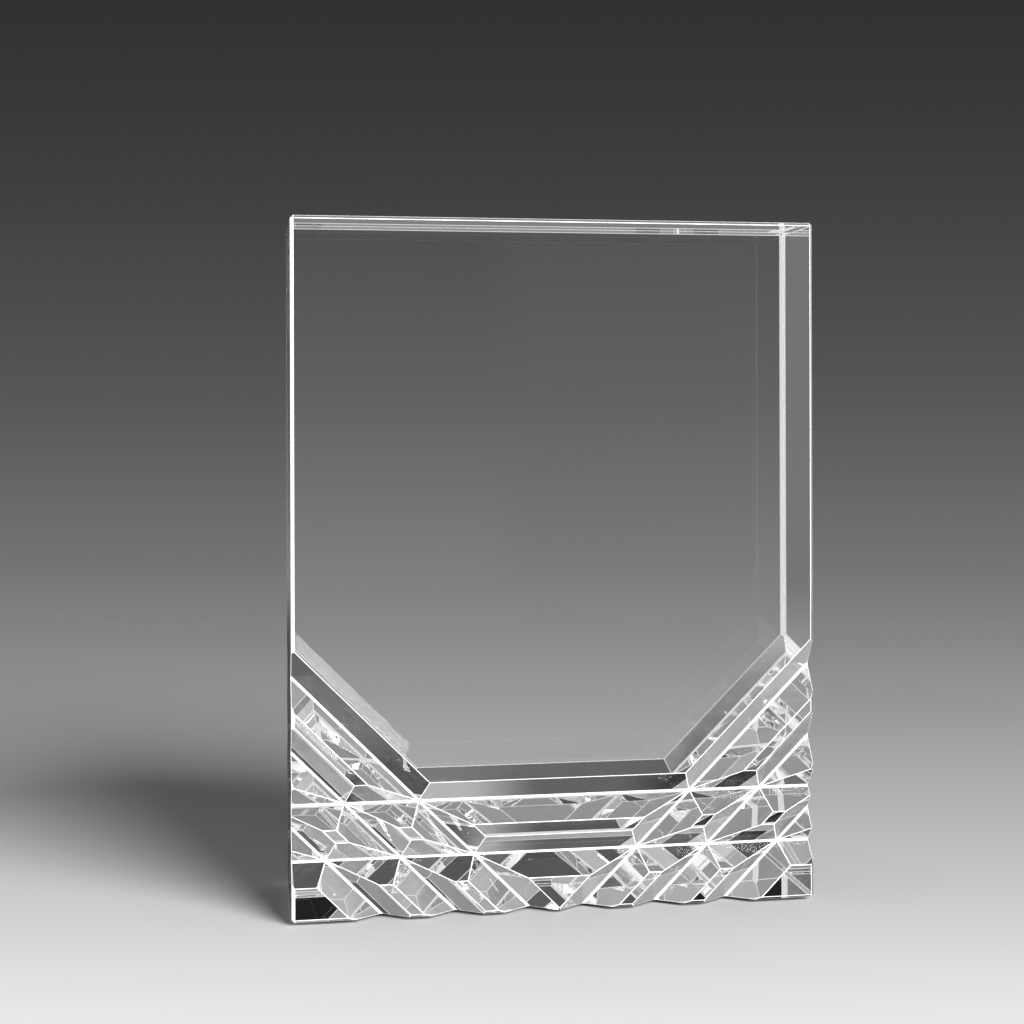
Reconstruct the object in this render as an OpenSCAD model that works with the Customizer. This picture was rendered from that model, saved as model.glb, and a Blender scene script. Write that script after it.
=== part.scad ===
// Crystal award: a thick rectangular block of clear crystal with a plain window above
// and a lattice of V-shaped wheel cuts across the foot of its front and back faces.
// It stands on four thin clear bumpers, each held by a disc of adhesive.
// Millimetres. +Z is up, the front faces -Y, and the origin is at the bottom centre.

/* [Crystal block] */
// Width of the block, side face to side face
block_w = 146; // [130:1:180]
// Thickness of the block, front face to back face
block_t = 42; // [34:1:56]
// Height of the block, underside to top face
block_h = 190; // [150:1:240]
// Width of the polished flat on every outer edge, measured along each face
arris = 0.8; // [0.3:0.1:1.2]

/* [Cut pattern] */
// Angle between the two walls of every cut
cut_angle = 94; // [84:1:96]
// Depth of the cuts in the front face
front_cut_depth = 5.5; // [3.5:0.1:6.6]
// Depth of the cuts in the back face
back_cut_depth = 4; // [3.5:0.1:6.6]
// Height of the upper level cut above the underside of the block
upper_level_z = 30.5; // [26:0.1:38]
// Height of the lower level cut above the underside of the block
lower_level_z = 15.2; // [12:0.1:19]
// Slope of the slanting cuts, in degrees above level
slant_angle = 45; // [40:1:50]
// Number of slanting cuts on each half of a face
slant_count = 3; // [1:1:3]
// Height above the underside at which the highest slanting cut leaves the side face
top_slant_z = 65.3; // [54:0.1:79]
// Distance down the side face from one slanting cut to the next
slant_pitch = 20.4; // [17:0.1:24]

/* [Bumper feet] */
// Diameter of a bumper foot
foot_d = 10; // [8:0.5:12]
// Thickness of a bumper foot
foot_t = 0.8; // [0.6:0.1:1.5]
// Radius of the rounded lower rim of a bumper foot
foot_rim_r = 0.3; // [0.1:0.1:0.5]
// Diameter of the adhesive disc on a bumper foot
adhesive_d = 9.4; // [7:0.1:12]
// Thickness of the adhesive disc
adhesive_t = 0.15; // [0.1:0.05:0.3]
// Distance from a side face of the block to the middle of a foot
foot_side_inset = 11; // [8:0.5:20]
// Clear ground between a foot and the deepest part of the cuts beside it
foot_clearance = 1; // [0.5:0.1:3]

/* [Hidden] */

// Which side of the middle a piece stands on
LEFT = -1;
RIGHT = 1;
FRONT = -1;
BACK = 1;

// How far every cutter runs past the surface that it starts or ends at
overrun = 2;
// Height of the underside of the block above the surface that the award stands on
block_z = foot_t + adhesive_t;
// The feet keep inside the cuts, so that the same circle clears both faces
deepest_cut = max(front_cut_depth, back_cut_depth);
foot_x = block_w / 2 - foot_side_inset;
foot_y = block_t / 2 - deepest_cut - foot_clearance - foot_d / 2;

crystal_colour = [0.86, 0.91, 0.93, 0.45];
bumper_colour = [0.93, 0.94, 0.93, 0.7];
adhesive_colour = [0.95, 0.95, 0.88, 0.8];

$fa = 4;
$fs = 0.15;

// A rectangle about the origin whose corners are cut off at 45 degrees
module arrised_rectangle(width, height) {
    half_w = width / 2;
    half_h = height / 2;
    polygon([
        [half_w, half_h - arris], [half_w - arris, half_h],
        [arris - half_w, half_h], [-half_w, half_h - arris],
        [-half_w, arris - half_h], [arris - half_w, -half_h],
        [half_w - arris, -half_h], [half_w, arris - half_h]
    ]);
}

// The uncut block about the origin, with a flat on each of its twelve edges
module arrised_block() {
    intersection() {
        linear_extrude(height = block_h, center = true)
            arrised_rectangle(block_w, block_t);
        rotate([90, 0, 90])
            linear_extrude(height = block_w, center = true)
                arrised_rectangle(block_t, block_h);
        rotate([90, 0, 0])
            linear_extrude(height = block_t, center = true)
                arrised_rectangle(block_w, block_h);
    }
}

// A level V-shaped bar along X through the origin. Its edge lies depth behind the
// face at y = 0, and its open side stands in front of that face.
module v_bar(depth, length) {
    open_half_w = (depth + overrun) * tan(cut_angle / 2);
    rotate([90, 0, 90])
        linear_extrude(height = length, center = true)
            polygon([[-overrun, -open_half_w], [depth, 0], [-overrun, open_half_w]]);
}

// A cut straight across the face at height z
module level_cut(z, depth) {
    translate([0, 0, z])
        v_bar(depth, block_w + 2 * overrun);
}

// A cut that leaves the right side face at height z and runs down towards the middle
module slanting_cut(z, depth) {
    run_below_edge = z / sin(slant_angle) + overrun + depth;
    translate([block_w / 2, 0, z])
        rotate([0, -slant_angle, 0])
            v_bar(depth, 2 * run_below_edge);
}

// Every cut of one face. The face is the plane y = 0, the crystal lies behind it at
// +Y, and the underside of the block is at z = 0.
module face_cuts(depth) {
    level_cut(upper_level_z, depth);
    level_cut(lower_level_z, depth);
    for (i = [0 : slant_count - 1]) {
        edge_z = top_slant_z - i * slant_pitch;
        slanting_cut(edge_z, depth);
        mirror([1, 0, 0]) slanting_cut(edge_z, depth);
    }
}

module crystal_block() {
    color(crystal_colour)
        translate([0, 0, block_z])
            difference() {
                translate([0, 0, block_h / 2]) arrised_block();
                translate([0, -block_t / 2, 0]) face_cuts(front_cut_depth);
                translate([0, block_t / 2, 0]) mirror([0, 1, 0]) face_cuts(back_cut_depth);
            }
}

// A flat clear bumper with a rounded lower rim
module bumper(side_x, side_y) {
    rim_steps = 6;
    rim = [for (i = [0 : rim_steps])
        let (a = 90 * i / rim_steps)
        [foot_d / 2 - foot_rim_r * (1 - sin(a)), foot_rim_r * (1 - cos(a))]];
    color(bumper_colour)
        translate([side_x * foot_x, side_y * foot_y, 0])
            rotate_extrude()
                polygon(concat([[0, 0]], rim, [[foot_d / 2, foot_t], [0, foot_t]]));
}

// The disc of adhesive between a bumper and the underside of the block
module adhesive_disc(side_x, side_y) {
    color(adhesive_colour)
        translate([side_x * foot_x, side_y * foot_y, foot_t])
            cylinder(d = min(adhesive_d, foot_d), h = adhesive_t);
}

module foot_front_left() { bumper(LEFT, FRONT); }
module foot_front_right() { bumper(RIGHT, FRONT); }
module foot_back_left() { bumper(LEFT, BACK); }
module foot_back_right() { bumper(RIGHT, BACK); }

module adhesive_front_left() { adhesive_disc(LEFT, FRONT); }
module adhesive_front_right() { adhesive_disc(RIGHT, FRONT); }
module adhesive_back_left() { adhesive_disc(LEFT, BACK); }
module adhesive_back_right() { adhesive_disc(RIGHT, BACK); }

crystal_block();
foot_front_left();
foot_front_right();
foot_back_left();
foot_back_right();
adhesive_front_left();
adhesive_front_right();
adhesive_back_left();
adhesive_back_right();
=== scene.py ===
import math

import bmesh
import bpy
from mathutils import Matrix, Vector


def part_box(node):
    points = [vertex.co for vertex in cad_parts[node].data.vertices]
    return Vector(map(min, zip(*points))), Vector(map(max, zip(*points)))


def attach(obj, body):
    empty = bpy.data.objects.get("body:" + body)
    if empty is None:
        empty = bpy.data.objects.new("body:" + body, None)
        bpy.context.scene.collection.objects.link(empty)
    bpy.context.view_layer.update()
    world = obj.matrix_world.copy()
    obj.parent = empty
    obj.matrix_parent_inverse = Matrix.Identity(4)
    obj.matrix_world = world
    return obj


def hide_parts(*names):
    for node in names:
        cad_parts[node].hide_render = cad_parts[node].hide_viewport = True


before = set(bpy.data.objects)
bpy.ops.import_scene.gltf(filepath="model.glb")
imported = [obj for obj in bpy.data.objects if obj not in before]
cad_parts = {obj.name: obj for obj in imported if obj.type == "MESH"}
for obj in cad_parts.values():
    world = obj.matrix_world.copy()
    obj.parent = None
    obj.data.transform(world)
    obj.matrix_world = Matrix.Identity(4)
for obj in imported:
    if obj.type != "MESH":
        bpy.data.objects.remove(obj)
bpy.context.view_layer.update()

# ---------------------------------------------------------------------------------------
# Camera. A level camera a little left of the award, at desk height, turned slightly to
# the right. It is lowered on its film rather than tilted, so uprights stay upright.
MM = 0.001
VIEW_YAW = math.radians(9.18)
VIEW_ROLL = math.radians(0.15)
EYE_LEFT = 85.5 * MM
EYE_BEFORE_FACE = 449.2 * MM
EYE_ABOVE_UNDERSIDE = 137.5 * MM
FOCAL_LENGTH = 58.5
FILM_WIDTH = 36.0
FILM_SHIFT = -0.0996

block_low, block_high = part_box("crystal_block")
camera_data = bpy.data.cameras.new("camera")
camera_data.lens = FOCAL_LENGTH
camera_data.sensor_width = FILM_WIDTH
camera_data.shift_y = FILM_SHIFT
camera_data.clip_start = 20 * MM
camera = bpy.data.objects.new("camera", camera_data)
camera.location = (-EYE_LEFT, block_low.y - EYE_BEFORE_FACE, block_low.z + EYE_ABOVE_UNDERSIDE)
camera.rotation_euler = (math.pi / 2, VIEW_ROLL, -VIEW_YAW)
bpy.context.scene.collection.objects.link(camera)
bpy.context.scene.camera = camera

# ---------------------------------------------------------------------------------------
# Crystal block: one piece of lead-free optical crystal, sawn, ground flat, cut with a
# V-edged wheel across the foot of both faces and then polished. The valleys and the ridge
# lines keep the satin finish that grinding leaves, and so do the flats of three upright
# edges, chosen as those that the light makes bright: a painted highlight. The satin also
# carries a painted glow.
ARRIS = 0.8 * MM
CUT_ANGLE = math.radians(94)
FRONT_CUT_DEPTH = 5.5 * MM
BACK_CUT_DEPTH = 4.0 * MM
UPPER_LEVEL = 30.5 * MM
LOWER_LEVEL = 15.2 * MM
TOP_SLANT = 65.3 * MM
SLANT_PITCH = 20.4 * MM
SLANT_COUNT = 3
SLANT_ANGLE = math.radians(45)
OVERRUN = 2 * MM
# How far a slanting bar runs, against the height that it has to span
BAR_LENGTHS = 3.0


def new_tree(name, sockets):
    """A geometry node tree with the given named inputs and one geometry output."""
    tree = bpy.data.node_groups.new(name, "GeometryNodeTree")
    tree.is_modifier = True
    for label, kind, default in sockets:
        socket = tree.interface.new_socket(label, in_out="INPUT", socket_type=kind)
        if default is not None:
            socket.default_value = default
    tree.interface.new_socket("Geometry", in_out="OUTPUT", socket_type="NodeSocketGeometry")
    return tree


class Wiring:
    """Short calls for placing and joining the nodes of one tree."""

    def __init__(self, tree, is_group=True):
        self.tree = tree
        if is_group:
            self.inputs = tree.nodes.new("NodeGroupInput")
            self.output = tree.nodes.new("NodeGroupOutput")

    def given(self, label):
        return self.inputs.outputs[label]

    def add(self, kind, feeds=(), out=0, **settings):
        node = self.tree.nodes.new(kind)
        for key, value in settings.items():
            setattr(node, key, value)
        for socket, value in dict(feeds).items():
            several = value if isinstance(value, list) else [value]
            for one in reversed(several):
                if isinstance(one, bpy.types.NodeSocket):
                    self.tree.links.new(one, node.inputs[socket])
                else:
                    node.inputs[socket].default_value = one
        return node.outputs[out]

    def maths(self, operation, *values):
        return self.add("ShaderNodeMath", enumerate(values), operation=operation)

    def vector(self, x=0.0, y=0.0, z=0.0):
        return self.add("ShaderNodeCombineXYZ", {"X": x, "Y": y, "Z": z})

    def turn_about_y(self, angle):
        return self.add("FunctionNodeEulerToRotation", {"Euler": self.vector(y=angle)})


def cut_block_tree():
    """The uncut block is the hull of three crossed slabs, which leaves a flat on each edge.
    Each cut is a square bar on its edge, stretched to the angle of the wheel."""
    length = "NodeSocketFloat"
    tree = new_tree("cut block", [
        ("Size", "NodeSocketVector", None), ("Arris", length, ARRIS), ("Cut Angle", length, CUT_ANGLE),
        ("Front Depth", length, FRONT_CUT_DEPTH), ("Back Depth", length, BACK_CUT_DEPTH),
        ("Upper Level", length, UPPER_LEVEL), ("Lower Level", length, LOWER_LEVEL),
        ("Slant Angle", length, SLANT_ANGLE), ("Top Slant", length, TOP_SLANT),
        ("Slant Pitch", length, SLANT_PITCH), ("Slant Count", "NodeSocketInt", SLANT_COUNT),
        ("Base Height", length, 0.0), ("Material", "NodeSocketMaterial", None)])
    w = Wiring(tree)
    size = w.add("ShaderNodeSeparateXYZ", {0: w.given("Size")}).node.outputs
    both_flats = w.maths("MULTIPLY", w.given("Arris"), 2.0)
    inner = [w.maths("SUBTRACT", size[i], both_flats) for i in range(3)]
    slabs = []
    for long_axis in range(3):
        sides = [size[i] if i == long_axis else inner[i] for i in range(3)]
        slabs.append(w.add("GeometryNodeMeshCube", {"Size": w.vector(*sides)}))
    crossed = w.add("GeometryNodeJoinGeometry", {0: slabs})
    half_height = w.maths("MULTIPLY", size[2], 0.5)
    middle = w.maths("ADD", w.given("Base Height"), half_height)
    uncut = w.add("GeometryNodeTransform", {
        "Geometry": w.add("GeometryNodeConvexHull", {0: crossed}), "Translation": w.vector(z=middle)})

    upright = w.add("GeometryNodeMeshCylinder", {"Vertices": 4, "Radius": 1.0, "Depth": 1.0})
    bar = w.add("GeometryNodeTransform", {"Geometry": upright, "Rotation": w.turn_about_y(math.pi / 2)})

    half_width = w.maths("MULTIPLY", size[0], 0.5)
    half_thickness = w.maths("MULTIPLY", size[1], 0.5)
    half_open = w.maths("TANGENT", w.maths("MULTIPLY", w.given("Cut Angle"), 0.5))
    reach = 4 * FRONT_CUT_DEPTH
    across = w.maths("ADD", size[0], 2 * OVERRUN)
    slant_length = w.maths("MULTIPLY", w.maths("ADD", w.given("Top Slant"), reach), BAR_LENGTHS)

    def bars_on(points, bar_length, turn):
        stretch = w.vector(bar_length, reach, w.maths("MULTIPLY", half_open, reach))
        return w.add("GeometryNodeInstanceOnPoints", {
            "Points": points, "Instance": bar, "Rotation": turn, "Scale": stretch})

    levels = w.add("GeometryNodeMeshLine", {
        "Count": 2, "Start Location": w.vector(z=w.given("Upper Level")),
        "Offset": w.vector(z=w.given("Lower Level"))}, mode="END_POINTS")
    cuts = [bars_on(levels, across, w.turn_about_y(0.0))]
    for side in (-1.0, 1.0):
        leaves_side_at = w.vector(w.maths("MULTIPLY", half_width, side), 0.0, w.given("Top Slant"))
        starts = w.add("GeometryNodeMeshLine", {
            "Count": w.given("Slant Count"), "Start Location": leaves_side_at,
            "Offset": w.vector(z=w.maths("MULTIPLY", w.given("Slant Pitch"), -1.0))}, mode="OFFSET")
        turn = w.turn_about_y(w.maths("MULTIPLY", w.given("Slant Angle"), -side))
        cuts.append(bars_on(starts, slant_length, turn))
    one_face = w.add("GeometryNodeRealizeInstances", {0: w.add("GeometryNodeJoinGeometry", {0: cuts})})

    cutters = []
    for side, depth in ((-1.0, "Front Depth"), (1.0, "Back Depth")):
        out_by = w.maths("SUBTRACT", w.maths("ADD", half_thickness, reach), w.given(depth))
        on_face = w.vector(0.0, w.maths("MULTIPLY", out_by, side), w.given("Base Height"))
        cutters.append(w.add("GeometryNodeTransform", {"Geometry": one_face, "Translation": on_face}))
    wheel_work = w.add("GeometryNodeStoreNamedAttribute", {
        "Geometry": w.add("GeometryNodeJoinGeometry", {0: cutters}), "Name": "wheel_cut", "Value": 1.0},
        data_type="FLOAT", domain="FACE")
    cut = w.add("GeometryNodeMeshBoolean", {
        "Mesh 1": uncut, "Mesh 2": wheel_work, "Self Intersection": True},
        operation="DIFFERENCE", solver="EXACT")
    solid = w.add("GeometryNodeRealizeInstances", {0: cut})
    finished = w.add("GeometryNodeSetMaterial", {"Geometry": solid, "Material": w.given("Material")})
    tree.links.new(finished, w.output.inputs[0])
    return tree


def grown_by(tree, name, values):
    """Runs a geometry node tree on an empty mesh and gives the result as a plain object."""
    grower = bpy.data.objects.new(name + " seed", bpy.data.meshes.new(name + " seed"))
    bpy.context.scene.collection.objects.link(grower)
    modifier = grower.modifiers.new("grow", "NODES")
    modifier.node_group = tree
    for item in tree.interface.items_tree:
        if item.item_type == "SOCKET" and item.in_out == "INPUT" and item.name in values:
            modifier[item.identifier] = values[item.name]
    graph = bpy.context.evaluated_depsgraph_get()
    mesh = bpy.data.meshes.new_from_object(grower.evaluated_get(graph), depsgraph=graph)
    bpy.data.objects.remove(grower)
    mesh.name = name
    mesh.materials.clear()
    mesh.materials.append(values["Material"])
    piece = bpy.data.objects.new(name, mesh)
    bpy.context.scene.collection.objects.link(piece)
    return piece


CLEAR, SATIN_AND_GLOW = 0, 1
VALLEY_RADIUS = 0.5 * MM
VALLEY_STEPS = 5
RIDGE_RADIUS = 0.13 * MM
RIDGE_STEPS = 3
SAME_POINT = 0.002 * MM
SAME_PLANE = math.radians(0.2)
LEAST_CORNER = math.radians(30)


def round_edges(work, edges, radius, steps):
    bmesh.ops.bevel(work, geom=edges, offset=radius, offset_type="OFFSET", segments=steps, profile=0.5,
                    affect="EDGES", clamp_overlap=False, material=SATIN_AND_GLOW)


def finish_edges(piece, satin):
    """Merges the facets of each plane, rounds the valleys that the wheel's worn tip cut, and
    takes the sharpness off the ridges. These lines take the satin material, which has a
    painted glow, and so do the flats of the upright edges, all but the one at the front
    right: the glowing flats are a painted highlight where the light falls, and the
    front-right one stays clear and dark."""
    work = bmesh.new()
    work.from_mesh(piece.data)
    bmesh.ops.remove_doubles(work, verts=work.verts, dist=SAME_POINT)
    bmesh.ops.dissolve_limit(work, angle_limit=SAME_PLANE, verts=work.verts, edges=work.edges,
                             delimit={"NORMAL"})
    bmesh.ops.recalc_face_normals(work, faces=work.faces)
    valleys = [e for e in work.edges if not e.is_convex and e.calc_face_angle() > LEAST_CORNER]
    round_edges(work, valleys, VALLEY_RADIUS, VALLEY_STEPS)
    ridges = [e for e in work.edges if e.is_convex and e.calc_face_angle() > LEAST_CORNER]
    round_edges(work, ridges, RIDGE_RADIUS, RIDGE_STEPS)
    bmesh.ops.recalc_face_normals(work, faces=work.faces)
    for face in work.faces:
        centre = face.calc_center_median()
        if (abs(centre.x) > block_high.x - ARRIS and abs(centre.y) > block_high.y - ARRIS
                and centre.z < block_high.z - ARRIS):
            # The upright flats that the light makes bright take the glowing satin, a painted highlight; the
            # front-right one stays clear and dark
            front_right = centre.x > 0 > centre.y
            face.material_index = CLEAR if front_right else SATIN_AND_GLOW
    piece.data.materials.append(satin)
    work.to_mesh(piece.data)
    work.free()


# The lowest and highest noise that the haze tells apart
NOISE_LOW, NOISE_HIGH = 0.35, 0.7
# Strength of the painted glow that the satin lines give off, though they are no lamp
LINE_PAINTED_GLOW = 0.6


def polish_group():
    """What polishing leaves: slow waves in the surface and a patchy haze, both held to a mask."""
    group = bpy.data.node_groups.new("polish", "ShaderNodeTree")
    for label, value in (("Mask", 1.0), ("Wave Scale", 90.0), ("Haze Scale", 400.0),
                         ("Least Haze", 0.0), ("Most Haze", 0.1)):
        socket = group.interface.new_socket(label, in_out="INPUT", socket_type="NodeSocketFloat")
        socket.default_value = value
    for label in ("Waves", "Roughness"):
        group.interface.new_socket(label, in_out="OUTPUT", socket_type="NodeSocketFloat")
    w = Wiring(group)
    place = w.add("ShaderNodeTexCoord", out="Object")
    waves = w.add("ShaderNodeTexNoise", {"Vector": place, "Scale": w.given("Wave Scale"), "Detail": 2.0})
    patches = w.add("ShaderNodeTexNoise", {"Vector": place, "Scale": w.given("Haze Scale"), "Detail": 4.0})
    haze = w.add("ShaderNodeMapRange", {
        "Value": patches, "From Min": NOISE_LOW, "From Max": NOISE_HIGH,
        "To Min": w.given("Least Haze"), "To Max": w.given("Most Haze")})
    group.links.new(w.maths("MULTIPLY", waves, w.given("Mask")), w.output.inputs["Waves"])
    group.links.new(w.maths("MULTIPLY", haze, w.given("Mask")), w.output.inputs["Roughness"])
    return group


polish = polish_group()


def clear_material(name, colour, ior, transmission, mask=None, bump=0.0, **finish):
    """A see-through material whose roughness, and bump if any, come from the polish group."""
    material = bpy.data.materials.new(name)
    material.use_nodes = True
    shader = material.node_tree.nodes["Principled BSDF"]
    shader.inputs["Base Color"].default_value = (*colour, 1)
    shader.inputs["IOR"].default_value = ior
    shader.inputs["Transmission Weight"].default_value = transmission
    w = Wiring(material.node_tree, is_group=False)
    feeds = {label.replace("_", " ").title(): value for label, value in finish.items()}
    if mask:
        feeds["Mask"] = w.add("ShaderNodeAttribute", out="Fac", attribute_name=mask)
    left_by_polish = w.add("ShaderNodeGroup", feeds, node_tree=polish).node.outputs
    w.tree.links.new(left_by_polish["Roughness"], shader.inputs["Roughness"])
    if bump:
        relief = w.add("ShaderNodeBump", {
            "Strength": 1.0, "Distance": bump, "Height": left_by_polish["Waves"]})
        w.tree.links.new(relief, shader.inputs["Normal"])
    return material


crystal = clear_material(
    "polished crystal", colour=(0.99, 0.995, 0.993), ior=1.52, transmission=1.0, mask="wheel_cut",
    bump=0.02 * MM, wave_scale=110.0, haze_scale=500.0, least_haze=0.0, most_haze=0.035)
satin_line_with_glow = clear_material(
    "satin wheel line with painted glow", colour=(0.97, 0.98, 0.98), ior=1.52, transmission=0.35,
    wave_scale=200.0, haze_scale=900.0, least_haze=0.4, most_haze=0.6)
# The satin line has a painted glow: its emission makes it shine as if lit from inside the crystal, though
# it is no lamp
line_shader = satin_line_with_glow.node_tree.nodes["Principled BSDF"]
line_shader.inputs["Emission Color"].default_value = (0.97, 0.98, 0.98, 1)
line_shader.inputs["Emission Strength"].default_value = LINE_PAINTED_GLOW

block = grown_by(cut_block_tree(), "crystal_block_cut", {
    "Size": tuple(block_high - block_low), "Arris": ARRIS, "Cut Angle": CUT_ANGLE,
    "Front Depth": FRONT_CUT_DEPTH, "Back Depth": BACK_CUT_DEPTH, "Upper Level": UPPER_LEVEL,
    "Lower Level": LOWER_LEVEL, "Slant Angle": SLANT_ANGLE, "Top Slant": TOP_SLANT,
    "Slant Pitch": SLANT_PITCH, "Slant Count": SLANT_COUNT, "Base Height": block_low.z,
    "Material": crystal})
finish_edges(block, satin_line_with_glow)
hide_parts("crystal_block")
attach(block, "root")

# ---------------------------------------------------------------------------------------
# Bumper feet: four clear moulded polyurethane discs with a rounded lower rim, each stuck
# under a corner of the block by a thin disc of pressure-sensitive film.
SEAM = 0.012 * MM
FOOT_RIM = 0.3 * MM
FOOT_TOP_EDGE = 0.08 * MM
FILM_RIM = 0.02 * MM
RIM_STEPS = 6
PAD_SIDES = 96
# A pad starts as a disc this share of the rim radius thick
FIRST_LIFT = 0.001
CORNERS = ("front_left", "front_right", "back_left", "back_right")


def pads_tree():
    """Four round pads on the corners of a rectangle. Each grows upwards ring by ring: round
    the lower rim, up the wall and over the top edge."""
    length = "NodeSocketFloat"
    tree = new_tree("round pads", [
        ("Diameter", length, 0.01), ("Thickness", length, 0.001), ("Rim Radius", length, 0.0003),
        ("Top Edge", length, 0.0001), ("Spacing X", length, 0.1), ("Spacing Y", length, 0.02),
        ("Base Height", length, 0.0), ("Material", "NodeSocketMaterial", None)])
    w = Wiring(tree)
    radius = w.maths("MULTIPLY", w.given("Diameter"), 0.5)
    rim = w.given("Rim Radius")
    rings = []
    for step in range(RIM_STEPS + 1):
        angle = math.pi / 2 * step / RIM_STEPS
        rings.append((w.maths("SUBTRACT", radius, w.maths("MULTIPLY", rim, 1 - math.sin(angle))),
                      w.maths("MULTIPLY", rim, 1 + FIRST_LIFT - math.cos(angle))))
    rings.append((radius, w.maths("SUBTRACT", w.given("Thickness"), w.given("Top Edge"))))
    rings.append((w.maths("SUBTRACT", radius, w.given("Top Edge")), w.given("Thickness")))
    first_radius, first_height = rings[0]
    disc = w.add("GeometryNodeMeshCylinder", {
        "Vertices": PAD_SIDES, "Radius": first_radius, "Depth": first_height})
    top = disc.node.outputs["Top"]
    pad = w.add("GeometryNodeTransform", {
        "Geometry": disc, "Translation": w.vector(z=w.maths("MULTIPLY", first_height, 0.5))})
    for (radius_below, height_below), (radius_here, height_here) in zip(rings, rings[1:]):
        raised = w.add("GeometryNodeExtrudeMesh", {
            "Mesh": pad, "Selection": top, "Offset": w.vector(z=1.0),
            "Offset Scale": w.maths("SUBTRACT", height_here, height_below)}, mode="FACES")
        top = raised.node.outputs["Top"]
        pad = w.add("GeometryNodeScaleElements", {
            "Geometry": raised, "Selection": top, "Scale": w.maths("DIVIDE", radius_here, radius_below)})
    corners = w.add("GeometryNodeMeshGrid", {
        "Size X": w.given("Spacing X"), "Size Y": w.given("Spacing Y"), "Vertices X": 2, "Vertices Y": 2})
    lifted = w.add("GeometryNodeTransform", {
        "Geometry": corners, "Translation": w.vector(z=w.given("Base Height"))})
    four = w.add("GeometryNodeRealizeInstances", {
        0: w.add("GeometryNodeInstanceOnPoints", {"Points": lifted, "Instance": pad})})
    finished = w.add("GeometryNodeSetMaterial", {"Geometry": four, "Material": w.given("Material")})
    tree.links.new(finished, w.output.inputs[0])
    return tree


foot_low, foot_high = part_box("foot_back_right")
film_low, film_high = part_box("adhesive_back_right")
foot_centre = (foot_low + foot_high) / 2
urethane = clear_material(
    "clear urethane", colour=(0.93, 0.94, 0.93), ior=1.5, transmission=0.9, bump=0.02 * MM,
    wave_scale=700.0, haze_scale=1500.0, least_haze=0.08, most_haze=0.3)
film = clear_material(
    "adhesive film", colour=(0.95, 0.95, 0.88), ior=1.47, transmission=0.85,
    wave_scale=900.0, haze_scale=2500.0, least_haze=0.15, most_haze=0.5)
pads = pads_tree()
for name, node, low, high, rim, top_edge, material, slot in (
        ("bumper_feet", "foot", foot_low, foot_high, FOOT_RIM, FOOT_TOP_EDGE, urethane, "bumper"),
        ("adhesive_discs", "adhesive", film_low, film_high, FILM_RIM, FILM_RIM, film, "adhesive")):
    piece = grown_by(pads, name, {
        "Diameter": high.x - low.x, "Thickness": high.z - low.z - SEAM, "Rim Radius": rim,
        "Top Edge": top_edge, "Spacing X": 2 * foot_centre.x, "Spacing Y": 2 * foot_centre.y,
        "Base Height": low.z, "Material": material})
    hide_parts(*(f"{node}_{corner}" for corner in CORNERS))
    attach(piece, "root")

# ---------------------------------------------------------------------------------------
# Floor: a round sheet of pale matt paper. Its colour is painted darker with distance from
# the camera, a painted falloff of the studio light, and its rim fades out, so that it runs
# into the backdrop with no edge. What the crystal shows of it is self-lit in tones of its
# own, a painted reflection that carries no shadow.
EYE_HEIGHT = camera.location.z
FLOOR_RADIUS = 0.95
SOLID_RADIUS = 0.5
FLOOR_RINGS = 48
FLOOR_SPOKES = 96
CLOSEST = 10 * MM

# Screen greys of the paper and the backdrop, against the slope above eye level at which they are seen. On
# the paper they are painted shade: its colour darkens with distance, standing in for the falloff of the
# studio light
TONES = [(-0.366, 233), (-0.33, 221), (-0.282, 198), (-0.234, 177), (-0.186, 154), (-0.138, 133),
         (-0.09, 115), (-0.042, 101), (0.006, 87), (0.066, 76), (0.126, 65), (0.186, 56), (0.246, 49),
         (0.3, 44)]
# Self-lit tones that the paper glows with for rays from the crystal, with no shadow in them: painted light
# through the crystal, and a painted reflection on its outside
THROUGH_CRYSTAL_PAINTED = [(-1.2, 130), (-0.6, 142), (-0.366, 146), (-0.26, 148), (-0.222, 172)] + TONES[4:]
MIRRORED_PAINTED = [(-1.0, 255), (-0.6, 255), (-0.4, 60), (-0.3, 40), (0.3, 40)]

forward = Vector((math.sin(VIEW_YAW), math.cos(VIEW_YAW), 0))
sideways = Vector((math.cos(VIEW_YAW), -math.sin(VIEW_YAW), 0))


def linear(level):
    """The linear value of a screen grey from 0 to 255."""
    level /= 255
    return level / 12.92 if level <= 0.04045 else ((level + 0.055) / 1.055) ** 2.4


def graded(w, steps, value):
    """The grey that goes with a value, from (value, screen grey) pairs."""
    first, last = steps[0][0], steps[-1][0]
    share = w.add("ShaderNodeMapRange", {"Value": value, "From Min": first, "From Max": last})
    colour = w.add("ShaderNodeValToRGB", {"Fac": share})
    elements = colour.node.color_ramp.elements
    while len(elements) < len(steps):
        elements.new(0.5)
    for element, (position, level) in zip(elements, steps):
        element.position = (position - first) / (last - first)
        element.color = (linear(level), linear(level), linear(level), 1)
    return colour


def mixed(w, share, at_none, at_all):
    """A colour that goes from one to the other as the share goes from 0 to 1."""
    return w.add("ShaderNodeMix", {0: share, 6: at_none, 7: at_all}, out=2, data_type="RGBA")


def seen_at_slope(point):
    """The slope above eye level at which the camera sees a point of the floor."""
    return -EYE_HEIGHT / max((point - camera.location).dot(forward), CLOSEST)


def faded(radius):
    """How solid the sheet is at this distance from its middle."""
    share = min(1, max(0, (FLOOR_RADIUS - radius) / (FLOOR_RADIUS - SOLID_RADIUS)))
    return share * share * (3 - 2 * share)


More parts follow.
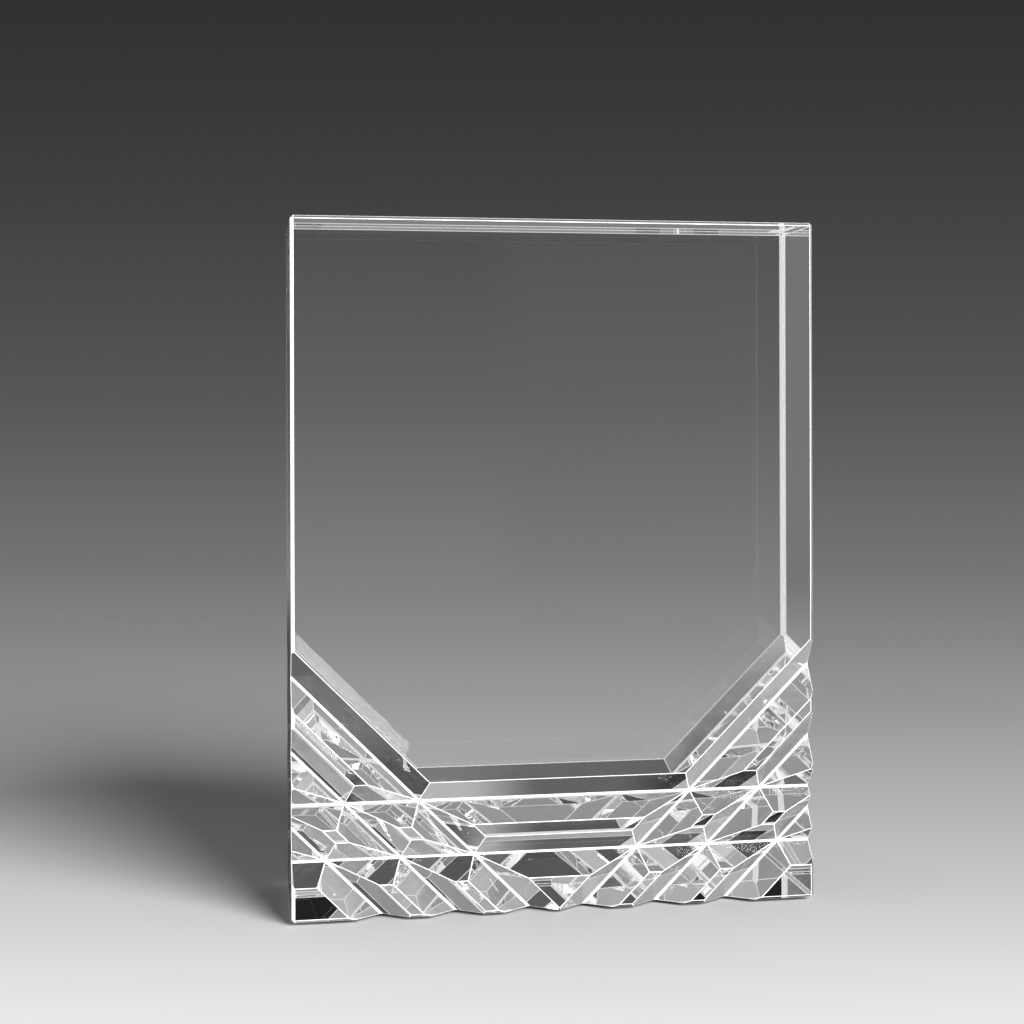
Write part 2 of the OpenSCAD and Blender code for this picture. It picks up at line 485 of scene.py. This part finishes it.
floor_work = bmesh.new()
slope_layer = floor_work.verts.layers.float.new("slope")
solid_layer = floor_work.verts.layers.float.new("solid")
floor_rings = []
for ring in range(FLOOR_RINGS + 1):
    ring_radius = FLOOR_RADIUS * ring / FLOOR_RINGS
    spokes = FLOOR_SPOKES if ring else 1
    floor_rings.append([])
    for spoke in range(spokes):
        turn = 2 * math.pi * spoke / spokes
        vertex = floor_work.verts.new((ring_radius * math.cos(turn), ring_radius * math.sin(turn), 0))
        vertex[slope_layer] = seen_at_slope(vertex.co)
        vertex[solid_layer] = faded(ring_radius)
        floor_rings[-1].append(vertex)
for inner, outer in zip(floor_rings, floor_rings[1:]):
    for spoke in range(FLOOR_SPOKES):
        following = (spoke + 1) % FLOOR_SPOKES
        around = [inner[spoke % len(inner)], outer[spoke], outer[following], inner[following % len(inner)]]
        floor_work.faces.new(list(dict.fromkeys(around)))
floor_mesh = bpy.data.meshes.new("floor")
floor_work.to_mesh(floor_mesh)
floor_work.free()

paper = bpy.data.materials.new("matt paper")
paper.use_nodes = True
paper_shader = paper.node_tree.nodes["Principled BSDF"]
paper_shader.inputs["Roughness"].default_value = 1.0
paper_shader.inputs["Specular IOR Level"].default_value = 0.0
w = Wiring(paper.node_tree, is_group=False)
slope_here = w.add("ShaderNodeAttribute", out="Fac", attribute_name="slope")
solid_here = w.add("ShaderNodeAttribute", out="Fac", attribute_name="solid")
# The paper's base colour is painted darker with distance, a painted falloff of light
w.tree.links.new(graded(w, TONES, slope_here), paper_shader.inputs["Base Color"])
w.tree.links.new(solid_here, paper_shader.inputs["Alpha"])
path = w.add("ShaderNodeLightPath").node.outputs
# For rays from the crystal the paper is swapped for an emission of these tones: painted light, which
# carries no shadow
painted_tone_in_award = mixed(w, path["Is Transmission Ray"], graded(w, MIRRORED_PAINTED, slope_here),
                      graded(w, THROUGH_CRYSTAL_PAINTED, slope_here))
painted_glow_in_award = w.add("ShaderNodeMixShader", {
    0: solid_here, 1: w.add("ShaderNodeBsdfTransparent"),
    2: w.add("ShaderNodeEmission", {"Color": painted_tone_in_award})})
for_eye_or_award = w.add("ShaderNodeMixShader", {
    0: w.maths("MAXIMUM", path["Is Transmission Ray"], path["Is Glossy Ray"]),
    1: paper_shader.outputs[0], 2: painted_glow_in_award})
w.tree.links.new(for_eye_or_award, w.tree.nodes["Material Output"].inputs["Surface"])
floor_mesh.materials.append(paper)
floor = bpy.data.objects.new("floor", floor_mesh)
bpy.context.scene.collection.objects.link(floor)

# ---------------------------------------------------------------------------------------
# Studio: a graded grey backdrop with a dark gap over it, pale walls at both sides, a
# skylight high on the left, a dim grey room on the camera's side, and one large soft
# lamp in front on the right.
LAMP_AZIMUTH = math.radians(146)
LAMP_HEIGHT = math.radians(30)
LAMP_SPREAD = math.radians(36)
LAMP_POWER = 5.0

# Screen greys that the crystal sees above the backdrop, against the sine of their height
HIGH_LEFT = [(0.13, 108), (0.17, 125), (0.21, 185), (0.29, 185), (0.3, 120), (0.375, 88), (0.77, 86),
             (1.0, 110)]
HIGH_RIGHT = [(0.13, 108), (0.2, 88), (0.29, 88), (0.31, 100), (0.375, 80), (0.77, 80), (1.0, 110)]
# Along the walls, against how far to the side they are
LEFT_WALL = [(0.2, 178), (0.42, 175), (0.46, 108), (0.53, 110), (0.6, 135), (0.74, 168), (0.85, 250),
             (1.0, 255)]
RIGHT_WALL = [(0.29, 175), (0.6, 180), (0.74, 180), (0.85, 250), (1.0, 255)]
# On the camera's side, against the slope above eye level
CAMERA_SIDE = [(-0.3, 170), (-0.17, 180), (-0.09, 199), (0.006, 174), (0.1, 154), (0.45, 110), (1.0, 71)]
# The soft fill on satin and matt surfaces comes from low down, against the sine of its height
SOFT_FILL = [(0.0, 380), (0.2, 380), (0.24, 92), (1.0, 92)]

# Where one part of the room gives way to the next: it begins at the first value and is
# complete at the second
BEHIND_STARTS = (-0.1, 0.1)
BACKDROP_ENDS = (0.115, 0.14)
HIGH_RIGHT_STARTS = (-0.03, 0.02)
RIGHT_HALF_STARTS = (-0.01, 0.01)
LOW_LEFT_WALL_STARTS = (-0.22, -0.26)
LOW_RIGHT_WALL_STARTS = (0.29, 0.33)
LOW_WALLS_TOP = (0.35, 0.25)
HIGH_WALLS_START = (0.34, 0.42)
LEFT_LOFT_SIDE, LEFT_LOFT_RISE = (-0.12, -0.2), (0.42, 0.5)
SKYLIGHT_SIDE, SKYLIGHT_RISE = (-0.35, -0.45), (0.68, 0.76)
SKYLIGHT = (0.87, 0.87, 0.87, 1)
DARK_GAP_SIDE, DARK_GAP_BOTTOM, DARK_GAP_TOP = (0.06, 0.1), (0.257, 0.262), (0.302, 0.297)
DARK = (0.003, 0.003, 0.003, 1)
LEAST_AHEAD = 0.25

world = bpy.data.worlds.new("studio")
bpy.context.scene.world = world
world.use_nodes = True
w = Wiring(world.node_tree, is_group=False)
towards = w.add("ShaderNodeTexCoord", out="Generated")


def direction_along(axis):
    """How far the direction of a ray goes along an axis, from -1 to 1."""
    return w.add("ShaderNodeVectorMath", {0: towards, 1: axis}, out="Value", operation="DOT_PRODUCT")


def change(value, limits):
    """A share that goes smoothly from 0 at the first limit to 1 at the second."""
    return w.add("ShaderNodeMapRange", {"Value": value, "From Min": limits[0], "From Max": limits[1]},
                 interpolation_type="SMOOTHSTEP")


def overlap(*shares):
    """The share of all these at once."""
    total = shares[0]
    for share in shares[1:]:
        total = w.maths("MULTIPLY", total, share)
    return total


ahead = direction_along(forward)
side = direction_along(sideways)
rise = direction_along((0, 0, 1))
aside = w.maths("ABSOLUTE", side)
slope = w.maths("DIVIDE", rise, w.maths("MAXIMUM", w.maths("ABSOLUTE", ahead), LEAST_AHEAD))

seen_backdrop = graded(w, TONES, slope)
high = mixed(w, change(side, HIGH_RIGHT_STARTS), graded(w, HIGH_LEFT, rise), graded(w, HIGH_RIGHT, rise))
behind = mixed(w, change(slope, BACKDROP_ENDS), seen_backdrop, high)
dark_gap = overlap(change(rise, DARK_GAP_BOTTOM), change(aside, DARK_GAP_SIDE), change(rise, DARK_GAP_TOP))
behind = mixed(w, dark_gap, behind, DARK)
room = mixed(w, change(ahead, BEHIND_STARTS), graded(w, CAMERA_SIDE, slope), behind)
low_walls = overlap(change(rise, LOW_WALLS_TOP), w.maths(
    "MAXIMUM", change(side, LOW_LEFT_WALL_STARTS), change(side, LOW_RIGHT_WALL_STARTS)))
high_walls = w.maths("MAXIMUM", change(aside, HIGH_WALLS_START),
                     overlap(change(rise, LEFT_LOFT_RISE), change(side, LEFT_LOFT_SIDE)))
walls = mixed(w, change(side, RIGHT_HALF_STARTS), graded(w, LEFT_WALL, aside), graded(w, RIGHT_WALL, aside))
room = mixed(w, w.maths("MAXIMUM", low_walls, high_walls), room, walls)
room = mixed(w, overlap(change(rise, SKYLIGHT_RISE), change(side, SKYLIGHT_SIDE)), room, SKYLIGHT)

path = w.add("ShaderNodeLightPath").node.outputs
seen_by_crystal = w.maths("MAXIMUM", path["Is Glossy Ray"], path["Is Transmission Ray"])
around_award = mixed(w, seen_by_crystal, graded(w, SOFT_FILL, rise), room)
seen = mixed(w, path["Is Camera Ray"], around_award, seen_backdrop)
w.tree.links.new(seen, w.tree.nodes["Background"].inputs["Color"])

lamp_data = bpy.data.lights.new("soft lamp", "SUN")
lamp_data.angle = LAMP_SPREAD
lamp_data.energy = LAMP_POWER
lamp = bpy.data.objects.new("soft lamp", lamp_data)
level_reach = math.cos(LAMP_HEIGHT)
to_lamp = Vector((math.sin(LAMP_AZIMUTH) * level_reach, math.cos(LAMP_AZIMUTH) * level_reach,
                  math.sin(LAMP_HEIGHT)))
lamp.location = 2 * to_lamp
lamp.rotation_euler = (-to_lamp).to_track_quat("-Z", "Y").to_euler()
bpy.context.scene.collection.objects.link(lamp)

scene = bpy.context.scene
scene.view_settings.view_transform = "Standard"
scene.cycles.max_bounces = 32
scene.cycles.transmission_bounces = 32
scene.cycles.glossy_bounces = 24
scene.cycles.caustics_refractive = False
scene.cycles.caustics_reflective = False
